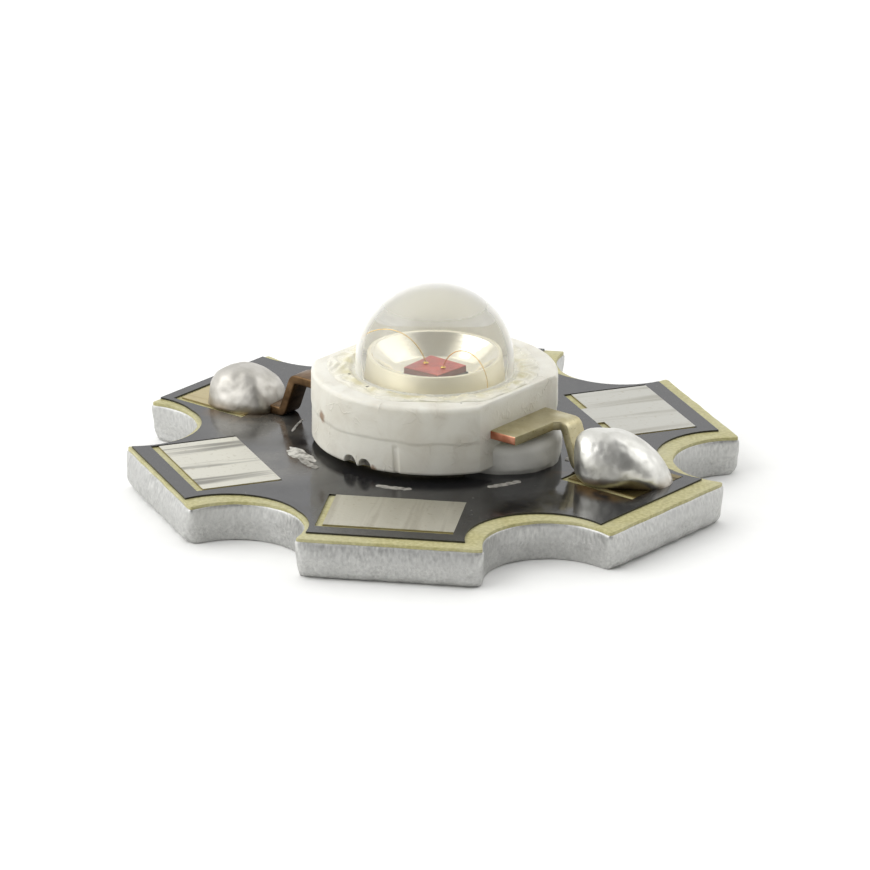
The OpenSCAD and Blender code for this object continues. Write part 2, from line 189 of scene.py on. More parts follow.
def starOutline(wear):
    # one lobe's straight edge and the notch arc after it, turned six times and spaced evenly, then blurred
    # with a narrow bell curve so that the corners come out worn; complex numbers hold x and y
    flat, radius = star["halfFlat"], star["notchR"]
    notch = star["notchRing"] * np.exp(1j * math.pi / 6)
    half = notch.imag - math.sqrt(radius ** 2 - (flat - notch.real) ** 2)
    begin = math.atan2(half - notch.imag, flat - notch.real)
    edge = flat + 1j * np.linspace(-half, half, star["edgePoints"])
    arcTurn = np.linspace(begin, -math.radians(300) - begin, star["arcPoints"])[1:-1]
    arc = notch + radius * np.exp(1j * arcTurn)
    sixth = np.concatenate([edge, arc])
    loop = (np.exp(1j * np.pi / 3 * np.arange(6))[:, None] * sixth).ravel()
    onLobe = np.tile(np.append(np.ones(edge.size), np.zeros(arc.size)), 6)
    loop, onLobe = np.append(loop, loop[0]), np.append(onLobe, 1)
    along = np.append(0, np.cumsum(np.abs(np.diff(loop))))
    even = np.linspace(0, along[-1], star["columns"], endpoint=False)
    outline = np.interp(even, along, loop.real) + 1j * np.interp(even, along, loop.imag)
    weight = np.interp(even, along, onLobe)
    wave = np.fft.fftfreq(star["columns"], even[1])
    outline = np.fft.ifft(np.fft.fft(outline) * np.exp(-2 * (np.pi * wave * wear) ** 2))
    weight = np.fft.ifft(np.fft.fft(weight) * np.exp(-2 * (np.pi * wave * star["lobeBlur"]) ** 2)).real
    tangent = np.roll(outline, -1) - np.roll(outline, 1)
    return outline, -1j * tangent / np.abs(tangent), weight


def edgeRows(outline, normal, heights, offsets):
    # the outline moved out along its normals, one row for each height
    moved = outline + normal * offsets
    return np.stack([moved.real, moved.imag, np.broadcast_to(heights, moved.shape)], -1)


def innerRow(z):
    # circle inside the notches, its points crowded towards the lobes so that every quad to the outline stays open
    f = np.arange(star["columns"]) * 6 / star["columns"] + star["firstColumn"]
    turn = (f - star["crowd"] * np.sin(2 * np.pi * f) / (2 * np.pi)) * np.pi / 3
    return ringed(star["innerR"], turn[None], z)


def basePlate():
    # wall section: bulging draft above the flare, rolled edge below on the lobes, a small roll in the notches, and
    # corners that are worn rounder towards the foot
    outline, normal, lobe = starOutline(star["topWear"])
    foot = starOutline(star["footWear"])[0]
    z = np.array([1.2, 1.185, 1.15, 1.05, 0.95, 0.85, 0.75, 0.65, 0.57, 0.5, 0.42, 0.35, 0.27, 0.19, 0.12, 0.06,
                  0.02, 0.0])[:, None]
    outline = outline + (foot - outline) * ease(1.2, 0.45, z)
    down = np.clip((star["coreTop"] - z) / (star["coreTop"] - star["flareZ"]), 0, 1)
    bulge = star["flare"] * np.sin(down * np.pi / 2)
    rolled = [np.where(z < r, r - np.sqrt(np.clip(r * r - (r - z) ** 2, 0, None)), 0)
              for r in (star["roll"], star["notchRoll"])]
    worn = star["rub"] * ease(1.17, star["coreTop"], z)
    offset = lobe * (bulge - rolled[0]) - (1 - lobe) * rolled[1] - worn
    rough = edgeRows(outline, normal, z, offset)
    tear = star["tear"] * (1 + np.clip(lumps(rough, 0.7, 3), -1, 1)) * ease(0.75, 0.4, z) * ease(0.0, 0.1, z)
    return np.concatenate([innerRow(star["coreTop"]), edgeRows(outline, normal, z, offset - tear), innerRow(0.0)])


def resinLayer():
    # the insulating layer over the core: same outline, its edge a little ragged and rounded at the top
    outline, normal = starOutline(star["topWear"])[:2]
    z = np.array([star["resinLow"], 1.2, 1.25, 1.285, 1.297, star["resinTop"]])[:, None]
    inset = np.array([0.03, 0.025, 0.025, 0.028, 0.036, 0.05])[:, None]
    rim = edgeRows(outline, normal, z, -inset)
    ragged = star["ragged"] * (1 + np.clip(lumps(rim, 0.9, 7), -1, 1))
    edge = edgeRows(outline, normal, z, -inset - ragged)
    return np.concatenate([innerRow(star["resinLow"]), edge, innerRow(star["resinTop"])])


def shearedAluminium():
    # blanked aluminium sheet: a dull grey sheen, smooth in the sheared upper part, torn and gritty below it
    material, add, place = startMaterial("aluminium_sheared", {"Metallic": 1.0})
    height = add("SeparateXYZ", {"Vector": place}, "Z")
    wander = add("TexNoise", sized(place, 1.1))
    level = add("Math", {0: wander, 1: -0.5 * mm, 2: height}, operation="MULTIPLY_ADD")
    torn = add("MapRange", span(level, 0.62 * mm, 0.4 * mm), **eased)
    grit = add("TexNoise", {**sized(place, 0.11, 5.0), "Roughness": 0.65})
    upright = add("Mapping", {"Vector": place, "Scale": (1.0, 1.0, 0.5)})
    drag = add("TexNoise", sized(upright, 0.1, 3.0))
    pattern = add("Mix", {0: torn, 2: drag, 3: grit})
    shade = add("MapRange", span(pattern, 0.33, 0.69))
    metal = add("Mix", {0: shade, 6: "#B3B3B1", 7: "#D8D8D5"}, **blend)
    patchy = add("MapRange", span(wander, 0.35, 0.7, 0, 0.5))
    metal = add("Mix", {0: patchy, 6: metal, 7: "#C6C6C4"}, **blend)
    dull = add("MapRange", span(pattern, 0.3, 0.7, 0.45, 0.6))
    deep = add("MapRange", span(torn, 0, 1, 0.3, 0.75))
    bump = add("Bump", {"Strength": deep, "Distance": 0.05 * mm, "Height": pattern})
    return feed(material, metal, dull, bump)


def filledEpoxy():
    # ceramic-filled epoxy between core and foil: olive yellow, half matte, faintly speckled
    material, add, place = startMaterial("epoxy_filled_olive", {"IOR": 1.5})
    speck = add("TexNoise", sized(place, 0.12, 4.0))
    cloud = add("TexNoise", sized(place, 1.6))
    shade = add("MapRange", span(speck, 0.35, 0.65))
    resin = add("Mix", {0: shade, 6: "#A39C66", 7: "#BDB785"}, **blend)
    pale = add("MapRange", span(cloud, 0.45, 0.7, 0, 0.4))
    resin = add("Mix", {0: pale, 6: resin, 7: "#C3C0A0"}, **blend)
    dull = add("MapRange", span(speck, 0.3, 0.7, 0.38, 0.55))
    bump = add("Bump", {"Strength": 0.25, "Distance": 0.02 * mm, "Height": speck})
    return feed(material, resin, dull, bump)


maskMarks = {"top": 1.36, "flux": [((7.1, 0.1), 1.5), ((-6.6, -1.9), 1.5), ((5.4, 0.2), 0.9)],
             "haze": [((-2.4, -4.9), 2.4), ((-5.2, -2.8), 2.2)]}


def blackMask():
    # printed black solder mask: glossy lacquer with fine orange peel, dust, hazy patches, brown flux by the joints
    material, add, place = startMaterial("solder_mask_black_gloss", {"IOR": 1.6})
    peel = add("TexNoise", sized(place, 0.35))
    dust = add("TexNoise", sized(place, 0.09, 3.0))
    smear = add("TexNoise", {**sized(place, 0.8, 4.0), "Distortion": 0.6})
    speck = add("MapRange", span(dust, 0.64, 0.78, 0, 0.45))
    lacquer = add("Mix", {0: speck, 6: "#1B1B1D", 7: "#8A8780"}, **blend)
    blotch = add("MapRange", span(smear, 0.42, 0.66))
    for mark, solid, cover, overlay in (("flux", 0.5, blotch, "#5A4527"), ("haze", 0.3, smear, "#6A6862")):
        for (x, y), reach in maskMarks[mark]:
            spot = (x * mm, y * mm, maskMarks["top"] * mm)
            near = add("VectorMath", {0: place, 1: spot}, "Value", operation="DISTANCE")
            near = add("MapRange", span(near, reach * mm, solid * reach * mm), **eased)
            share = add("Math", {0: near, 1: cover}, operation="MULTIPLY")
            lacquer = add("Mix", {0: share, 6: lacquer, 7: overlay}, **blend)
    dull = add("MapRange", span(smear, 0.35, 0.7, 0.08, 0.24))
    bump = add("Bump", {"Strength": 0.12, "Distance": 0.02 * mm, "Height": peel})
    return feed(material, lacquer, dull, bump)


def levelledTin(name, turn, bright, dark, bands):
    # hot-air levelled tin on a pad: soft warm silver, with dark wiped streaks along the lobe at its turn in degrees
    material, add, place = startMaterial(name, {"Metallic": 1.0})
    along = add("Mapping", {"Vector": place, "Rotation": (0.0, 0.0, -math.radians(turn))})
    stretched = add("Mapping", {"Vector": along, "Scale": (0.07, 1.0, 1.0), "Location": (0.0, bands * mm, 0.0)})
    streak = add("TexNoise", {**sized(stretched, 1.1, 4.0), "Roughness": 0.6})
    grain = add("TexNoise", sized(place, 0.14, 3.0))
    crown = add("TexNoise", sized(place, 1.8, 1.0))
    wiped = add("MapRange", span(streak, 0.54, 0.62))
    tin = add("Mix", {0: wiped, 6: bright, 7: dark}, **blend)
    fleck = add("MapRange", span(grain, 0.6, 0.74, 0, 0.4))
    tin = add("Mix", {0: fleck, 6: tin, 7: "#A89F86"}, **blend)
    dull = add("MapRange", span(streak, 0.35, 0.7, 0.34, 0.5))
    soft = add("Bump", {"Strength": 0.3, "Distance": 0.03 * mm, "Height": grain})
    bump = add("Bump", {"Strength": 0.2, "Distance": 0.1 * mm, "Height": crown, "Normal": soft})
    return feed(material, tin, dull, bump)


def etchedCopper():
    # etched foil under the mask: only its edges show in the openings, washed pale with tin
    material, add, place = startMaterial("copper_foil_tin_washed", {"Metallic": 1.0})
    tarnish = add("TexNoise", sized(place, 0.5, 4.0))
    foil = add("Mix", {0: tarnish, 6: "#B5A98C", 7: "#96876A"}, **blend)
    dull = add("MapRange", span(tarnish, 0, 1, 0.3, 0.55))
    return feed(material, foil, dull)


def screenInk(name, pale, stained):
    # screen-printed epoxy ink: chalky, uneven cover, a little dirt
    material, add, place = startMaterial(name, {"IOR": 1.5})
    cover = add("TexNoise", sized(place, 0.2, 4.0))
    shade = add("MapRange", span(cover, 0.42, 0.68))
    ink = add("Mix", {0: shade, 6: pale, 7: stained}, **blend)
    dull = add("MapRange", span(cover, 0, 1, 0.45, 0.8))
    bump = add("Bump", {"Strength": 0.4, "Distance": 0.02 * mm, "Height": cover})
    return feed(material, ink, dull, bump)


buildPiece("star_core", [basePlate()], shearedAluminium(), ["base_plate"])
buildPiece("star_resin", [resinLayer()], filledEpoxy(), ["dielectric_layer"])
dress(blackMask(), "solder_mask")
dress(etchedCopper(), "right_copper", "left_copper", "heat_land")
tins = {"left_front_wire_pad": ("tin_left_front", 240, "#DCDACE", "#98968E", 0.35),
        "right_front_wire_pad": ("tin_right_front", 300, "#CBC8BB", "#B8B4A6", 0.9),
        "right_back_wire_pad": ("tin_right_back", 60, "#C9C8C0", "#B4B2A8", 0.1),
        "left_back_wire_pad": ("tin_left_back", 120, "#D6D4C9", "#8F8D84", 0.6),
        "left_lead_pad": ("tin_fluxed", 0, "#C4B78E", "#8C7848", 0.2),
        "right_lead_pad": ("tin_fluxed_brown", 0, "#857850", "#45381F", 0.2)}
for pad, finish in tins.items():
    dress(levelledTin(*finish), pad)

dashes = {"ringR": 4.65, "width": 0.28, "angle": 15.0, "count": 8, "z": 1.36, "thick": 0.015, "ragged": 0.16,
          "worn": {4: 0.35}}


def inkDash(k):
    # low rounded section carried along a short arc, its width and ends ragged
    middle = math.radians(360 / dashes["count"] * (k + 0.5))
    s = np.linspace(-1, 1, 60)[:, None]
    turn = middle + s * math.radians(dashes["angle"] / 2) * 0.985
    side = np.array([-1, -0.97, -0.8, 0.8, 0.97, 1, 0.5, -0.5])[None]
    lift = np.array([0, 0.7, 1, 1, 0.7, 0, 0, 0])[None]
    ends = np.sqrt(np.clip(1 - np.abs(s) ** 10, 0.02, None))
    field = lumps(np.stack([s * 3 + 0 * side, np.sign(side) + 0 * s, k + 0 * s * side], -1), 1.0, 11)
    spread = (1 - dashes["ragged"] * (1 + np.clip(field, -1, 1))) * dashes["worn"].get(k, 1.0)
    radius = dashes["ringR"] + side * dashes["width"] / 2 * spread * ends
    return ringed(radius, turn, dashes["z"] + dashes["thick"] * lift)


dashInk = screenInk("ink_printed_pale", "#A5A29A", "#6E6B65")
buildPiece("ink_dashes", [inkDash(k) for k in range(dashes["count"])], dashInk, ["printed_dashes"])

paste = {"middle": (-2.46, -3.82), "size": (0.72, 0.3), "turn": -20.0, "z": 1.36, "thick": 0.025}


def pasteSmear():
    # flat ragged lens of dried paste: an ellipse with a wavy rim, highest in the middle
    turn = circle(96)
    s = np.array([1.0, 0.985, 0.94, 0.85, 0.7, 0.5, 0.3, 0.1])[:, None]
    rim = 1 + 0.16 * np.sin(3 * turn + 0.4) + 0.07 * np.sin(7 * turn) + 0.03 * np.sin(13 * turn + 1)
    x, y = s * rim * paste["size"][0] * np.cos(turn), s * rim * paste["size"][1] * np.sin(turn)
    spin = np.exp(1j * math.radians(paste["turn"])) * (x + 1j * y) + complex(*paste["middle"])
    z = paste["thick"] * np.sqrt(1 - np.clip(s, 0, 1) ** 2) * (1 + 0.25 * np.sin(9 * turn) * s)
    return np.stack([spin.real, spin.imag, paste["z"] + z], -1)


buildPiece("paste_smear", [pasteSmear()], screenInk("paste_dried_white", "#C9C7BF", "#716E66"))
print("board done")


body = {"radius": 4.0, "flat": 3.46, "bottom": 1.6, "parting": 2.65, "step": 0.028, "top": 3.85, "rim": 0.14,
        "seatR": 3.23, "seatZ": 3.55, "cavityR": 2.35, "cavityZ": 3.35, "postR": 1.55, "footTop": 2.2, "footR": 2.9,
        "columns": 720, "chips": [(-94.6, 4.0, 0.2), (-85.8, 3.6, 0.2)], "chipHigh": 0.3, "mark": -69.5,
        "markDeep": 0.04, "markHalf": 0.09, "wander": 0.03, "flash": 0.006, "flashHalf": 0.035, "skin": 0.004,
        "footRound": 0.03, "soft": 0.004, "within": 0.015}


def emitterBody():
    # section carried round the axis: outer side with the parting step, rim, seat, cavity and underside; the two
    # flats come from a soft minimum of the section's radius and the distance to the flat along each ray
    turn = circle(body["columns"])
    toFlat = body["flat"] / np.maximum(np.abs(np.cos(turn)), 1e-3)

    def limited(radius, inset):
        return -body["soft"] * np.logaddexp(-radius / body["soft"], (inset - toFlat) / body["soft"])

    zSide = np.concatenate([np.linspace(body["bottom"], body["parting"] - 0.03, 36),
                            body["parting"] + np.array([-0.015, 0.0, 0.015, 0.04]),
                            np.linspace(body["parting"] + 0.08, body["top"] - body["rim"], 22)])[:, None]
    around = ringed(body["radius"], turn, zSide)
    seam = body["parting"] + body["wander"] * lumps(around * [1, 1, 0], 1.4, 21)
    step = body["step"] * ease(0.07, -0.07, zSide - seam)
    ridge = np.exp(-((zSide - seam) / body["flashHalf"]) ** 2)
    flash = body["flash"] * ridge * ease(-0.4, 0.6, lumps(around, 1.1, 22))
    slant = turn - math.radians(360 + body["mark"]) + 0.02 * (zSide - 2.1)
    mark = body["markDeep"] * np.exp(-(slant * body["radius"] / body["markHalf"]) ** 4) * ease(2.6, 2.4, zSide)
    skin = body["skin"] * lumps(around, 1.6, 23)
    up = zSide - body["bottom"]
    chip = sum(depth * ease(1.0, 0.7, np.hypot((np.degrees(turn) - 360 - where) / width, up / body["chipHigh"]))
               for where, width, depth in body["chips"])
    foot = body["footRound"] * ease(0.06, 0.0, up)
    side = limited(body["radius"] - step + 0 * turn, 0.3 * step) + flash + skin - mark - chip - foot - body["within"]
    bend = np.linspace(0.15, 1, 6)[:, None] * np.pi / 2
    inset = body["rim"] * (1 - np.cos(bend))
    rim = limited(body["radius"] - inset + 0 * turn, 0.4 * inset) - body["within"]
    rimZ = body["top"] - body["rim"] * (1 - np.sin(bend)) + 0 * turn
    seat, cavity, post, under = (body[key] for key in ("seatR", "cavityR", "postR", "footR"))
    seatZ, cavityZ, underZ = body["seatZ"], body["cavityZ"], body["footTop"]
    inner = np.array([[3.36, 3.849], [3.26, 3.845], [seat, 3.83], [seat, seatZ], [cavity, seatZ], [cavity, cavityZ],
                      [post, cavityZ], [post, underZ], [under, underZ], [under, body["bottom"]]])
    radius = np.concatenate([side, rim, inner[:, :1] + 0 * turn])
    z = np.concatenate([zSide + 0 * turn, rimZ, inner[:, 1:] + 0 * turn])
    return ringed(radius, turn, z)


# brown flux stains and a dark speck on the rim; the two dark patches in the chips near the foot are painted shade
stainsAndChipShade = [((-1.79, -3.58, 2.74), 0.3, "#8C6A4C"), ((-0.3, -3.8, 1.68), 0.26, "#2E2114"),
          ((0.28, -3.8, 1.68), 0.26, "#2E2114"), ((0.62, -3.95, 1.62), 0.2, "#7A5430"),
          ((2.75, -2.1, 3.85), 0.05, "#3A3026")]


def mouldedResin():
    # glass-filled high-temperature nylon, moulded: warm white, satin, fine pitted skin with thin wrinkles, and a few
    # brown flux stains; near white under the dome as painted light, and dark in the two chips as painted shade
    material, add, place = startMaterial("nylon_moulded_warm_white", {
        "IOR": 1.53, "Subsurface Weight": 0.12, "Subsurface Scale": 0.3 * mm, "Subsurface Radius": (1.0, 0.9, 0.7)})
    pit = add("TexNoise", sized(place, 0.08, 4.0))
    cloud = add("TexNoise", {**sized(place, 0.9, 4.0), "Distortion": 0.5})
    shade = add("MapRange", span(cloud, 0.38, 0.68))
    resin = add("Mix", {0: shade, 6: "#E3E1D6", 7: "#D8D4C7"}, **blend)
    away = fromAxis(add, place)
    within = add("MapRange", span(away, 3.45 * mm, 3.15 * mm, 0, 0.75), **eased)
    resin = add("Mix", {0: within, 6: resin, 7: "#DAD5BA"}, **blend)
    # painted light: under the dome the resin goes near white, making up for the light the dome holds back
    paintedLightUnderDome = add("MapRange", span(away, 2.6 * mm, 2.5 * mm))
    resin = add("Mix", {0: paintedLightUnderDome, 6: resin, 7: "#F7F5EE"}, **blend)
    sway = add("TexNoise", sized(place, 0.7, 3.0), "Color")
    sway = add("VectorMath", {0: sway, 1: (2.2 * mm,) * 3}, operation="MULTIPLY")
    bent = add("Mix", {0: 0.35, 4: place, 5: sway}, 1, data_type="VECTOR")
    cell = add("TexVoronoi", {"Vector": bent, "Scale": 1 / (0.85 * mm)}, feature="DISTANCE_TO_EDGE")
    line = add("MapRange", span(cell, 0.035, 0.0))
    here = add("MapRange", span(cloud, 0.48, 0.62))
    wrinkle = add("Math", {0: line, 1: here}, operation="MULTIPLY")
    faint = add("Math", {0: wrinkle, 1: 0.05}, operation="MULTIPLY")
    resin = add("Mix", {0: faint, 6: resin, 7: "#A89F8C"}, **blend)
    # lay each colour over the resin: the flux stains and speck, and the painted shade in the two chips
    for spot, reach, overlay in stainsAndChipShade:
        near = add("VectorMath", {0: place, 1: [c * mm for c in spot]}, "Value", operation="DISTANCE")
        ragged = add("Math", {0: pit, 1: 0.5 * reach * mm, 2: near}, operation="MULTIPLY_ADD")
        share = add("MapRange", span(ragged, 1.15 * reach * mm, 0.6 * reach * mm, 0, 0.8), **eased)
        resin = add("Mix", {0: share, 6: resin, 7: overlay}, **blend)
    dull = add("MapRange", span(pit, 0.3, 0.7, 0.4, 0.58))
    fine = add("Bump", {"Strength": 0.35, "Distance": 0.015 * mm, "Height": pit})
    soft = add("Bump", {"Strength": 0.5, "Distance": 0.03 * mm, "Height": wrinkle, "Normal": fine})
    bump = add("Bump", {"Strength": 0.12, "Distance": 0.03 * mm, "Height": cloud, "Normal": soft})
    return feed(material, resin, dull, bump)


buildPiece("emitter_moulding", [emitterBody()], mouldedResin(), ["emitter_body"], sharp=18, ring=True)

slug = {"footR": 2.9, "bottom": 1.4, "footTop": 2.2, "postR": 1.55, "rimTop": 4.12, "cupR": 1.43, "floorR": 0.85,
        "floorZ": 3.77, "round": 0.05, "soft": 0.03}


def slugSection():
    # foot, post, rounded rim and a cup with a straight wall that rounds into its flat floor
    s = np.linspace(0, 1, 24)
    cupR = slug["cupR"] - (slug["cupR"] - slug["floorR"]) * s - 0.12 * ease(0.85, 1.0, s)
    cupZ = slug["rimTop"] - (slug["rimTop"] - slug["floorZ"]) * (s - 0.06 * ease(0.8, 0.95, s) * (1 - s) * 5)
    foot, low, high, post, rim = (slug[key] for key in ("footR", "bottom", "footTop", "postR", "rimTop"))
    large, small = slug["round"], slug["soft"]
    lower = [[1.0, low], [foot - large, low], [foot, low + large], [foot, high - small], [foot - small, high],
             [post + 0.02, high], [post, high + large], [post, rim - large], [post - 0.015, rim - 0.015],
             [post - large, rim], [slug["cupR"] + small, rim]]
    return np.concatenate([lower, np.stack([cupR, cupZ], -1), [[0.4, slug["floorZ"]]]])


def platedSilver():
    # copper slug, silver plated and pressed: a bright smooth cup with a warm cast and turning marks, frosted outside
    material, add, place = startMaterial("silver_plated_pressed", {"Metallic": 1.0})
    cast = add("TexNoise", sized(place, 0.5, 3.0))
    rings = add("TexWave", {**sized(place, 0.35), "Distortion": 1.5}, "Fac", wave_type="RINGS", rings_direction="Z")
    silver = add("Mix", {0: cast, 6: "#F5F1E2", 7: "#E6DDC2"}, **blend)
    dull = add("MapRange", span(cast, 0.3, 0.7, 0.07, 0.13))
    away = fromAxis(add, place)
    outside = add("MapRange", span(away, 1.44 * mm, 1.5 * mm))
    silver = add("Mix", {0: outside, 6: silver, 7: "#FAF3DA"}, **blend)
    dull = add("Mix", {0: outside, 2: dull, 3: 0.5})
    bump = add("Bump", {"Strength": 0.08, "Distance": 0.01 * mm, "Height": rings})
    return feed(material, silver, dull, bump)


buildPiece("slug_plated", [revolve(slugSection(), 144)], platedSilver(), ["heat_slug"], sharp=30)

puddle = {"middle": (2.55, 0.35), "radius": 1.93, "z": 1.36, "height": 0.99, "round": 0.32, "dent": 0.025,
          "toe": 0.03, "within": 0.03, "sag": 0.02, "filmR": 2.85, "filmLow": 1.31, "filmTop": 1.39}


def adhesivePuddle():
    # squat block with a rounded top edge and a wobbling side, as set when it was pressed out
    turn = circle(160)
    wall = np.linspace(0, 1, 14)[:, None]
    bend = np.linspace(0.1, 1, 10)[:, None] * np.pi / 2
    r, h, e = puddle["radius"], puddle["height"], puddle["round"]
    radius = np.concatenate([r + 0 * wall, r - e * (1 - np.cos(bend)), r - e - np.array([[0.3], [0.7], [1.1]])])
    z = np.concatenate([wall * (h - e), h - e * (1 - np.sin(bend)), h + np.array([[0.0], [-0.01], [-0.01]])])
    block = ringed(radius, turn, z)
    dent = puddle["dent"] * np.clip(lumps(block, 1.6, 31), -1.6, 1) - puddle["within"]
    toe = -puddle["toe"] * ease(0.15, 0.0, z) * (1 + np.clip(lumps(block * [1, 1, 0], 0.9, 33), -1, 1))
    radius = radius + dent + toe
    x, y = radius * np.cos(turn) + puddle["middle"][0], radius * np.sin(turn) + puddle["middle"][1]
    sag = 1 + puddle["sag"] * np.clip(lumps(block, 1.2, 34), -1, 0)
    return np.stack([x, y, puddle["z"] + z * sag], -1)


def setSilicone():
    # heat-conducting silicone, set: chalky white, satin, dimpled skin, greyer towards the foot
    material, add, place = startMaterial("silicone_set_white", {"IOR": 1.43})
    dimple = add("TexNoise", sized(place, 0.35, 4.0))
    height = add("SeparateXYZ", {"Vector": place}, "Z")
    low = add("MapRange", span(height, 1.75 * mm, 1.36 * mm, 0, 0.8))
    # greyer towards the foot, in dimple-shaped patches
    greyTowardsFoot = add("Math", {0: low, 1: dimple}, operation="MULTIPLY")
    white = add("Mix", {0: greyTowardsFoot, 6: "#E4E3DC", 7: "#8C8A7E"}, **blend)
    dull = add("MapRange", span(dimple, 0, 1, 0.35, 0.6))
    bump = add("Bump", {"Strength": 0.4, "Distance": 0.06 * mm, "Height": dimple})
    return feed(material, white, dull, bump)


low, high, reach = puddle["filmLow"], puddle["filmTop"], puddle["filmR"]
film = revolve([[2.0, low], [reach, low], [reach, high], [2.0, high + 0.005]], 96)
buildPiece("adhesive_squeezed", [adhesivePuddle(), film], setSilicone(), ["heat_adhesive"], sharp=50)
print("body done")


lead = {"thick": 0.29, "edge": 0.045, "tabIn": 2.96, "tabEnd": 4.46, "tabHalf": 1.45, "legY": 0.65, "z": 2.755,
        "bendX": 4.76, "footX": 5.21, "footZ": 1.505, "footEnd": 6.6, "postX": 2.025, "postTop": 3.5,
        "fingerHalf": 0.4, "fingerX": 3.3, "stepSoft": 0.015, "rootOut": 0.16, "rootRun": 0.25, "bendSoft": 0.22,
        "postSoft": 0.1}


def strip(path, low, high, soften, spacing=0.02):
    # rounded rectangle carried along a path in XZ; the path is spaced evenly and softened at its bends, and
    # low and high give the strip's two sides in Y as functions of the distance along it
    path = np.asarray(path, float)
    along = np.append(0, np.cumsum(np.hypot(*np.diff(path, axis=0).T)))
    s = np.linspace(0, along[-1], int(along[-1] / spacing))
    line = np.interp(s, along, path[:, 0]) + 1j * np.interp(s, along, path[:, 1])
    width = int(soften / spacing)
    bell = np.hanning(2 * width + 3)
    line = np.convolve(np.pad(line, width + 1, mode="reflect", reflect_type="odd"), bell / bell.sum(), "valid")
    tangent = np.gradient(line)
    normal = 1j * tangent / np.abs(tangent)
    corner = np.linspace(0, np.pi / 2, 5)
    e, halfT = lead["edge"], lead["thick"] / 2
    turns = (corner[None] + np.pi / 2 * np.arange(4)[:, None]).ravel()
    signY = np.repeat([1, -1, -1, 1], 5)
    signN = np.repeat([1, 1, -1, -1], 5)
    y0, y1 = low(s)[:, None], high(s)[:, None]
    y = np.where(signY > 0, y1 - e, y0 + e) + e * np.cos(turns)
    lift = signN * (halfT - e) + e * np.sin(turns)
    spot = line[:, None] + normal[:, None] * lift
    return np.stack([spot.real, y, spot.imag], -1)


def leadPiece(turned):
    # tab, leg and foot as one strip whose near side steps in where the tab ends, and the finger with its post
    run = [(lead["tabIn"], lead["z"]), (lead["bendX"], lead["z"]), (lead["footX"], lead["footZ"]),
           (lead["footEnd"], lead["footZ"])]
    tabRun = lead["tabEnd"] - lead["tabIn"]

    def near(s):
        inward = (lead["tabHalf"] + lead["legY"]) * ease(tabRun - lead["stepSoft"], tabRun + lead["stepSoft"], s)
        root = lead["rootOut"] * ease(tabRun + lead["rootRun"], tabRun + 0.01, s) * (s > tabRun)
        return inward - lead["tabHalf"] - root

    outer = strip(run, near, lambda s: lead["tabHalf"] + 0 * s, lead["bendSoft"])
    post = [(lead["fingerX"], lead["z"]), (lead["postX"], lead["z"]), (lead["postX"], lead["postTop"])]
    half = lead["fingerHalf"]
    finger = strip(post, lambda s: -half + 0 * s, lambda s: half + 0 * s, lead["postSoft"])
    return halfTurn((outer, finger), turned)


def tarnishedSilver(name, pale, deep):
    # silver-flashed copper strip gone yellow: brassy tarnish in patches with dark pits, bare copper where it was cut
    material, add, place = startMaterial(name, {"Metallic": 1.0})
    patch = add("TexNoise", {**sized(place, 0.7, 5.0), "Distortion": 0.4})
    pit = add("TexNoise", sized(place, 0.1, 3.0))
    shade = add("MapRange", span(patch, 0.38, 0.62))
    metal = add("Mix", {0: shade, 6: pale, 7: deep}, **blend)
    dark = add("MapRange", span(pit, 0.64, 0.74, 0, 0.6))
    metal = add("Mix", {0: dark, 6: metal, 7: "#5E4A2B"}, **blend)
    x, y = (add("SeparateXYZ", {"Vector": place}, axis) for axis in "XY")
    across = add("Math", {0: x, 1: y}, operation="MULTIPLY")
    opposite = add("Math", {0: across, 1: 0.0}, operation="LESS_THAN")
    outside = add("Math", {0: y}, operation="ABSOLUTE")
    cut = add("MapRange", span(outside, 1.425 * mm, 1.445 * mm))
    cut = add("Math", {0: cut, 1: opposite}, operation="MULTIPLY")
    bare = add("Mix", {0: shade, 6: "#D79A80", 7: "#A8674C"}, **blend)
    metal = add("Mix", {0: cut, 6: metal, 7: bare}, **blend)
    dull = add("MapRange", span(patch, 0.3, 0.7, 0.28, 0.48))
    bump = add("Bump", {"Strength": 0.25, "Distance": 0.03 * mm, "Height": pit})
    return feed(material, metal, dull, bump)


rightMetal = tarnishedSilver("silver_flash_tarnished", "#C8C09F", "#B6AC87")
leftMetal = tarnishedSilver("silver_flash_browned", "#7C6246", "#4C3A28")
buildPiece("lead_strip_right", leadPiece(False), rightMetal, ["right_lead"], sharp=50)
buildPiece("lead_strip_left", leadPiece(True), leftMetal, ["left_lead"], sharp=50)
print("leads done")


viewTurn = math.radians(38.39)  # the photograph's view; the joints' long axes lie across it
rightJoint = {"middle": (6.95, 1.05), "belly": 0.42, "height": 1.66, "reach": (1.55, 1.28, 1.62, 1.26),
              "lean": -0.42, "tuck": (0.0, 0.05, 0.12, 0.3), "slope": (1.1, 0.95, 0.5, 0.95),
              "apron": (1.0, 0.0, 0.0, 0.0), "ridge": (0, 0.0, 30), "seed": 41,
              "dents": [((0.62, -0.85, 0.75), 0.2, 0.05), ((0.95, -0.5, 0.9), 0.18, 0.045),
                        ((0.3, -1.15, 0.35), 0.4, 0.08), ((1.05, -0.75, 0.4), 0.2, 0.045)]}
leftJoint = {"middle": (-6.95, -1.05), "belly": 0.38, "height": 1.28, "reach": (1.26, 1.26, 1.32, 1.22),
             "lean": -0.15, "tuck": (0.06, 0.05, 0.0, 0.2), "slope": (0.95, 0.95, 0.95, 0.95),
             "apron": (0.3, 0.0, 0.2, 0.5), "ridge": (292, 0.2, 26), "seed": 47,
             "dents": [((-0.75, -0.9, 0.55), 0.4, 0.1), ((0.75, -0.9, 0.6), 0.4, 0.1)]}
solder = {"z": 1.36, "wave": 0.014, "grain": 0.004, "apronCurve": 0.47, "leanCurve": 1.6, "held": 0.15}


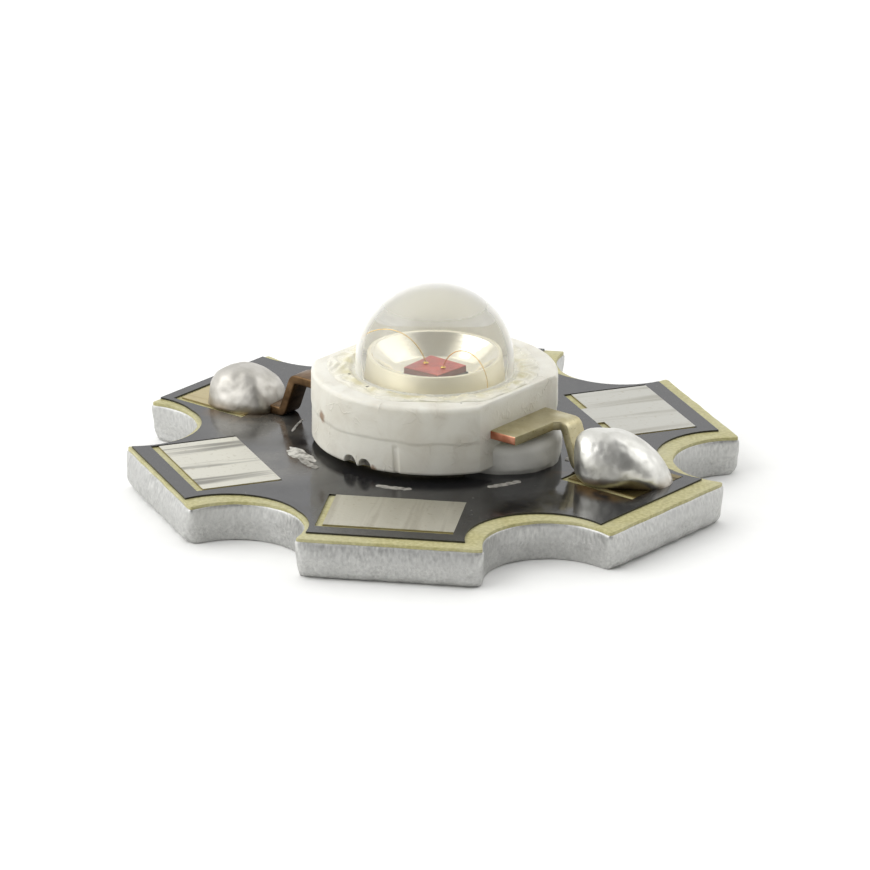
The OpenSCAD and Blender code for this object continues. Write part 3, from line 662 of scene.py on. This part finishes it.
def solderMound(joint):
    # mound whose reach from its middle changes round the plan (right, back, left and front as the view sees them),
    # with a belly, a tucked-in foot, sides of their own slope, a sloping apron, a ridge, a top that leans sideways,
    # round dents and a wavy skin
    turn = circle(144)

    def around(four):
        return sum(np.clip(np.cos(turn - k * np.pi / 2), 0, None) ** 2 * value for k, value in enumerate(four))

    low = np.linspace(0, 1, 14)[:, None]
    bend = np.linspace(0, 0.97, 40)[1:, None] * np.pi / 2
    rise = joint["height"] - joint["belly"]
    foot = 1 - around(joint["tuck"]) * (1 - low) ** 2
    reach, apron = around(joint["reach"]), around(joint["apron"])
    radius = np.concatenate([foot * reach, np.cos(bend) ** around(joint["slope"]) * reach])
    z = np.concatenate([low * joint["belly"], joint["belly"] + rise * np.sin(bend)])
    radius = (1 - apron) * radius + apron * reach * np.clip(1 - z / joint["height"], 0, 1) ** solder["apronCurve"]
    where, height, width = joint["ridge"]
    radius = radius * (1 + height * np.exp(-((np.degrees(turn) - where) / width) ** 2))
    lean = joint["lean"] * np.concatenate([0 * low, np.sin(bend) ** solder["leanCurve"]])
    right, back = radius * np.cos(turn) + lean, radius * np.sin(turn)
    mound = np.stack([right, back, z + 0 * turn], -1)
    pull = solder["wave"] * lumps(mound, 1.5, joint["seed"]) + solder["grain"] * lumps(mound, 0.35, joint["seed"] + 1)
    for (x, y, h), size, depth in joint["dents"]:
        pull = pull - depth * np.exp(-(((mound - [x, y, h]) / size) ** 2).sum(-1))
    hold = ease(0.0, solder["held"], z)
    out = mound - [0, 0, 0.5 * joint["height"]]
    mound = mound + out / np.linalg.norm(out, axis=-1, keepdims=True) * (pull * hold)[..., None]
    spot = np.exp(1j * viewTurn) * (mound[..., 0] + 1j * mound[..., 1]) + complex(*joint["middle"])
    return np.stack([spot.real, spot.imag, solder["z"] + np.clip(mound[..., 2], 0, joint["height"])], -1)


def frostedSolder(name, smooth, dullest, bright, grey):
    # lead-free solder set in air: bright silver with a frosty fine grain, yellow flux in the hollows by the foot
    material, add, place = startMaterial(name, {"Metallic": 1.0})
    frost = add("TexNoise", {**sized(place, 0.12, 4.0), "Roughness": 0.6})
    cloud = add("TexNoise", sized(place, 0.6, 3.0))
    shade = add("MapRange", span(cloud, 0.38, 0.66))
    metal = add("Mix", {0: shade, 6: bright, 7: grey}, **blend)
    height = add("SeparateXYZ", {"Vector": place}, "Z")
    low = add("MapRange", span(height, 1.7 * mm, 1.38 * mm))
    overlay = add("Math", {0: low, 1: cloud}, operation="MULTIPLY")
    metal = add("Mix", {0: overlay, 6: metal, 7: "#80652F"}, **blend)
    dull = add("MapRange", span(cloud, 0.3, 0.7, smooth, dullest))
    bump = add("Bump", {"Strength": 0.22, "Distance": 0.02 * mm, "Height": frost})
    return feed(material, metal, dull, bump)


rightSolder = frostedSolder("solder_frosted", 0.32, 0.44, "#E6E5DF", "#D0CFC8")
leftSolder = frostedSolder("solder_frosted_dull", 0.44, 0.56, "#CAC7C0", "#B9B6AE")
buildPiece("solder_mound_right", [solderMound(rightJoint)], rightSolder, ["right_solder"], sharp=60)
buildPiece("solder_mound_left", [solderMound(leftJoint)], leftSolder, ["left_solder"], sharp=60)
print("solder done")


wires = {"wireR": 0.0125, "ballX": 0.25, "ballR": 0.065, "ballH": 0.05, "dieTop": 3.95, "endX": 1.9, "endZ": 3.5,
         "loopRight": 0.62, "loopLeft": 0.56}


def bondWire(loop, turned):
    # round section carried along the arc through the ball, the loop's top and the bond post; the ball is a squat bead
    a, c = complex(wires["ballX"], wires["dieTop"] + wires["ballH"] / 2), complex(wires["endX"], wires["endZ"])
    b = complex((a.real + c.real) / 2, wires["dieTop"] + loop)
    w = (c - a) / (b - a)
    middle = a + (b - a) * (w - abs(w) ** 2) / (2j * w.imag)
    begin, end = np.angle(a - middle), np.angle(c - middle)
    arc = middle + abs(a - middle) * np.exp(1j * np.linspace(begin, end, 56))[:, None]
    out = (arc - middle) / np.abs(arc - middle)
    turn = circle(12)
    spot = arc + out * wires["wireR"] * np.cos(turn)
    tube = np.stack([spot.real, wires["wireR"] * np.sin(turn) + 0 * spot.real, spot.imag], -1)
    bend = np.linspace(-0.9, 0.95, 12) * np.pi / 2
    beadZ = wires["dieTop"] + wires["ballH"] * (0.5 + 0.5 * np.sin(bend))
    bead = revolve(np.stack([wires["ballR"] * np.cos(bend) ** 0.6, beadZ], -1), 24) + [wires["ballX"], 0, 0]
    return halfTurn((tube, bead), turned)


def drawnGold():
    # drawn gold wire: warm, bright and smooth, faintly uneven
    material, add, place = startMaterial("gold_drawn", {"Metallic": 1.0})
    draw = add("TexNoise", sized(place, 0.08))
    gold = add("Mix", {0: draw, 6: "#F4D26E", 7: "#DDAE45"}, **blend)
    dull = add("MapRange", span(draw, 0, 1, 0.15, 0.3))
    return feed(material, gold, dull)


goldWire = drawnGold()
buildPiece("bond_wire_right", bondWire(wires["loopRight"], False), goldWire, ["right_bond_wire"])
buildPiece("bond_wire_left", bondWire(wires["loopLeft"], True), goldWire, ["left_bond_wire"])


def grownDie():
    # red-emitting crystal on its dark carrier: salmon-red top with a grainy roughened face, dark brown-red sawn sides
    material, add, place = startMaterial("die_red_roughened", {"IOR": 2.0})
    grain = add("TexNoise", sized(place, 0.06, 4.0))
    cloud = add("TexNoise", sized(place, 0.3, 3.0))
    shade = add("MapRange", span(cloud, 0.35, 0.68))
    red = add("Mix", {0: shade, 6: "#D2472A", 7: "#A8311B"}, **blend)
    glint = add("MapRange", span(grain, 0.58, 0.72, 0, 0.6))
    red = add("Mix", {0: glint, 6: red, 7: "#EE9266"}, **blend)
    height = add("SeparateXYZ", {"Vector": place}, "Z")
    side = add("MapRange", span(height, 3.945 * mm, 3.93 * mm))
    crystal = add("Mix", {0: side, 6: red, 7: "#7C3626"}, **blend)
    dull = add("MapRange", span(grain, 0, 1, 0.3, 0.6))
    bump = add("Bump", {"Strength": 0.3, "Distance": 0.01 * mm, "Height": grain})
    return feed(material, crystal, dull, bump)


def silverGlue():
    # silver-filled die glue: dull grey paste with bright flakes
    material, add, place = startMaterial("glue_silver_filled", {"Metallic": 0.7})
    flake = add("TexVoronoi", {"Vector": place, "Scale": 1 / (0.04 * mm)})
    paste = add("Mix", {0: flake, 6: "#B5B3AC", 7: "#77756F"}, **blend)
    dull = add("MapRange", span(flake, 0, 1, 0.35, 0.7))
    return feed(material, paste, dull)


dress(grownDie(), "led_die")
dress(silverGlue(), "die_glue")

lens = {"domeR": 2.57, "domeZ": 4.07, "baseZ": 3.72, "wellR": 2.39, "wellLow": 3.3}


def lensSection():
    # well of clear gel and the half-round dome over it as one clear solid; its lower faces sit just inside the pieces
    # they touch
    bend = np.linspace(0, 0.985, 90) * np.pi / 2
    dome = np.stack([lens["domeR"] * np.cos(bend), lens["domeZ"] + lens["domeR"] * np.sin(bend)], -1)
    lower = [[1.0, lens["wellLow"]], [lens["wellR"], lens["wellLow"]], [lens["wellR"], lens["baseZ"]],
             [lens["domeR"], lens["baseZ"]]]
    return np.concatenate([lower, dome])


def clearSilicone():
    # clear moulded silicone lens: glossy, with a thin milky veil of fine dust that thickens where it is seen edge on,
    # and a crown frosted by the dust that settles on top
    material, add, place = startMaterial("silicone_clear_moulded", {"IOR": 1.42, "Base Color": colour("#FCFCF8")})
    dust = add("TexNoise", sized(place, 0.15, 3.0))
    ripple = add("TexNoise", sized(place, 0.9))
    facing = add("LayerWeight", {"Blend": 0.5}, "Facing")
    veil = add("MapRange", span(facing, 0, 0.6, 0.16, 0.23))
    edge = add("MapRange", span(facing, 0.56, 0.9, 0, 0.62))
    veil = add("Math", {0: veil, 1: edge}, operation="ADD")
    clear = add("Math", {0: 1.0, 1: veil}, operation="SUBTRACT")
    dull = add("MapRange", span(dust, 0.45, 0.75, 0, 0.02))
    height = add("SeparateXYZ", {"Vector": place}, "Z")
    crown = add("MapRange", span(height, 5.66 * mm, 6.2 * mm, 0, 0.36), **eased)
    dull = add("Math", {0: dull, 1: crown}, operation="ADD")
    bump = add("Bump", {"Strength": 0.04, "Distance": 0.02 * mm, "Height": ripple})
    return feed(material, clear, dull, bump, sockets=("Transmission Weight", "Roughness", "Normal"))


buildPiece("lens_dome", [revolve(lensSection(), 192)], clearSilicone(), ["lens", "clear_gel"], sharp=35)

flange = {"inner": 2.28, "outer": 3.36, "flat": 3.26, "low": 3.45, "z": 3.85, "lift": 0.07, "groove": 0.07,
          "wander": (0.09, 0.03), "most": 0.2, "clear": 0.004, "waves": 15,
          "specks": [(-1.72, -2.24, 3.88), (-0.52, -2.81, 3.88)]}


def lensFlange():
    # flat ring round the dome, bedded in sealing gel: its top ripples, it dips at the dome's foot and its outer edge
    # wanders in slow waves
    turn = circle(360)
    s = np.linspace(0, 1, 40)[:, None]
    ringPlace = ringed(3, turn, 0)
    slow, quick = flange["wander"]
    wander = slow * lumps(ringPlace, 2.2, 51) + quick * lumps(ringPlace, 0.7, 52)
    wander = np.clip(wander, -flange["most"], flange["most"])
    outer = np.minimum(flange["outer"] + wander, flange["flat"] / np.maximum(np.abs(np.cos(turn)), 0.1))
    radius = flange["inner"] + (outer - flange["inner"]) * s
    spot = ringed(radius, turn, 0)
    ridges = 0.3 + 0.35 * np.sin(radius * flange["waves"] + 3.5 * lumps(spot, 1.6, 53)) + 0.25 * lumps(spot, 0.7, 54)
    edge = np.sqrt(np.clip(1 - ((s - 0.5) / 0.5) ** 12, 0, 1))
    raised = flange["lift"] * np.clip(ridges, 0.0, 1) * edge * ease(2.72, 2.85, radius)
    z = flange["z"] + flange["clear"] + raised - flange["groove"] * ease(2.8, 2.64, radius)
    rims = np.concatenate([outer, outer * 0 + flange["inner"]])
    return np.concatenate([ringed(radius, turn, z), ringed(rims, turn, flange["low"])])


def yellowedGel():
    # silicone flange in its sealing gel, gone faintly yellow: milky cream with olive patches and a wet gloss, thinner
    # and whiter outwards, greyer in the groove round the dome's foot, two dark specks, and near white under the dome
    # as painted light
    material, add, place = startMaterial("gel_yellowed", {"IOR": 1.42})
    cloud = add("TexNoise", sized(place, 0.5, 3.0))
    patch = add("MapRange", span(cloud, 0.4, 0.66))
    gel = add("Mix", {0: patch, 6: "#E6E2CF", 7: "#D3CCA6"}, **blend)
    away = fromAxis(add, place)
    paintedLightUnderDome = add("MapRange", span(away, 2.58 * mm, 2.5 * mm))
    thin = add("MapRange", span(away, 2.95 * mm, 3.35 * mm, 0, 0.8))
    gel = add("Mix", {0: thin, 6: gel, 7: "#E1DED2"}, **blend)
    # greyer in the groove round the dome's foot
    greyInGroove = add("MapRange", span(away, 2.8 * mm, 2.66 * mm, 0, 0.6))
    gel = add("Mix", {0: greyInGroove, 6: gel, 7: "#D9D7CE"}, **blend)
    # painted light: under the dome the gel goes near white, making up for the light the dome holds back
    gel = add("Mix", {0: paintedLightUnderDome, 6: gel, 7: "#F5F3EA"}, **blend)
    for spot in flange["specks"]:
        near = add("VectorMath", {0: place, 1: [c * mm for c in spot]}, "Value", operation="DISTANCE")
        share = add("MapRange", span(near, 0.075 * mm, 0.045 * mm))
        gel = add("Mix", {0: share, 6: gel, 7: "#3A3026"}, **blend)
    dull = add("MapRange", span(cloud, 0, 1, 0.16, 0.4))
    return feed(material, gel, dull)


buildPiece("lens_flange", [lensFlange()], yellowedGel(), sharp=60, ring=True)
print("lens done")


studio = {"floorR": 0.3, "fade": (0.2, 0.06), "keyPower": 0.42, "keySize": 0.3, "keySpot": (-0.24, 0.06, 0.17),
          "level": 1.04, "tilt": (-0.2, 0.92), "openingRise": 2.2, "openingEdge": (0.68, 0.86), "openingDim": 0.4,
          "panelAim": (0.64, 0.2, 0.742), "panelEdge": (0.86, 0.95), "panelGlow": 0.7}


def paperFloor():
    # white paper sweep: matte, near white, fading out into the white surround
    material, add, place = startMaterial("paper_white", {"Roughness": 0.9, "Specular IOR Level": 0.0})
    away = add("VectorMath", {0: place}, "Value", operation="LENGTH")
    fibre = add("TexNoise", sized(place, 0.8, 3.0))
    tint = add("Mix", {0: fibre, 6: "#F8F8F6", 7: "#F3F3F1"}, **blend)
    solid = add("MapRange", span(away, *studio["fade"]), **eased)
    return feed(material, tint, solid, sockets=("Base Color", "Alpha"))


ring = np.geomspace(0.002, studio["floorR"], 24)[:, None] * np.exp(1j * circle(96))
index = np.arange(ring.size).reshape(ring.shape)
beside = np.roll(index, -1, 1)
sheet = bpy.data.meshes.new("paper_floor")
spots = np.stack([ring.real, ring.imag, 0 * ring.real], -1).reshape(-1, 3).tolist()
quads = np.stack([index[:-1], index[1:], beside[1:], beside[:-1]], -1).reshape(-1, 4).tolist()
sheet.from_pydata(spots, [], quads + [index[0].tolist()])
sheet.materials.append(paperFloor())
floor = bpy.data.objects.new("paper_floor", sheet)
scene.collection.objects.link(floor)

# light tent: white walls, brighter behind and to the left, with a dim opening above on the camera's side; in mirrors
# and clear pieces the walls stay at white, with a brighter panel at each side, and the camera itself sees plain white
world = bpy.data.worlds.new("light_tent")
scene.world = world
world.use_nodes = True
tree = world.node_tree
add = partial(addNode, tree)
towards = add("TexCoord", out="Generated")
across = Vector((math.cos(viewTurn), math.sin(viewTurn), 0))
forward = Vector((-math.sin(viewTurn), math.cos(viewTurn), 0))
slope = across * studio["tilt"][0] + forward * studio["tilt"][1]
lean = add("VectorMath", {0: towards, 1: slope}, "Value", operation="DOT_PRODUCT")
wall = add("Math", {0: lean, 1: studio["level"]}, operation="ADD")
aim = (-forward + Vector((0, 0, studio["openingRise"]))).normalized()
opened = add("VectorMath", {0: towards, 1: aim}, "Value", operation="DOT_PRODUCT")
opened = add("MapRange", span(opened, *studio["openingEdge"], 1.0, studio["openingDim"]), **eased)
shown = add("Math", {0: wall, 1: 1.0}, operation="MINIMUM")
shown = add("Math", {0: shown, 1: opened}, operation="MULTIPLY")
for hand in (-1, 1):
    aside, ahead, high = studio["panelAim"]
    aim = across * hand * aside + forward * ahead + Vector((0, 0, high))
    panel = add("VectorMath", {0: towards, 1: aim}, "Value", operation="DOT_PRODUCT")
    panel = add("MapRange", span(panel, *studio["panelEdge"], 0, studio["panelGlow"]), **eased)
    shown = add("Math", {0: shown, 1: panel}, operation="ADD")
glossy, through = (add("LightPath", out=kind) for kind in ("Is Glossy Ray", "Is Transmission Ray"))
mirrored = add("Math", {0: glossy, 1: through}, operation="MAXIMUM")
scattered = add("Math", {0: add("LightPath", out="Diffuse Depth"), 1: 0.5}, operation="LESS_THAN")
direct = add("Math", {0: mirrored, 1: scattered}, operation="MULTIPLY")
strength = add("Mix", {0: direct, 2: wall, 3: shown})
strength = add("Mix", {0: add("LightPath", out="Is Camera Ray"), 2: strength, 3: 1.0})
tree.links.new(strength, tree.nodes["Background"].inputs["Strength"])
tree.nodes["Background"].inputs["Color"].default_value = colour("#FFFFFF")

key = bpy.data.lights.new("key_softbox", "AREA")
key.energy, key.shape, key.size = studio["keyPower"], "SQUARE", studio["keySize"]
keyLamp = bpy.data.objects.new("key_softbox", key)
side, front, up = studio["keySpot"]
keyLamp.location = across * side - forward * front + Vector((0, 0, up))
keyLamp.rotation_euler = (Vector((0, 0, 2 * mm)) - keyLamp.location).to_track_quat("-Z", "Y").to_euler()
scene.collection.objects.link(keyLamp)

shot = {"elevation": 20.12, "distance": 0.25305, "aim": (0, 0, 1.3 * mm), "lens": 323.46, "roll": 0.543,
        "sensor": 36, "shift": (0.00114, 0.00787), "clip": (0.01, 10)}
lensData = bpy.data.cameras.new("photo_camera")
lensData.sensor_width, lensData.lens = shot["sensor"], shot["lens"]
lensData.clip_start, lensData.clip_end = shot["clip"]
lensData.shift_x, lensData.shift_y = shot["shift"]
camera = bpy.data.objects.new("photo_camera", lensData)
scene.collection.objects.link(camera)
az, el = viewTurn, math.radians(shot["elevation"])
back = Vector((math.sin(az) * math.cos(el), -math.cos(az) * math.cos(el), math.sin(el)))
camera.matrix_world = (Matrix.Translation(Vector(shot["aim"]) + back * shot["distance"])
                       @ Euler((math.pi / 2 - el, 0, az)).to_matrix().to_4x4()
                       @ Matrix.Rotation(math.radians(shot["roll"]), 4, "Z"))
scene.camera = camera
print("stage done")
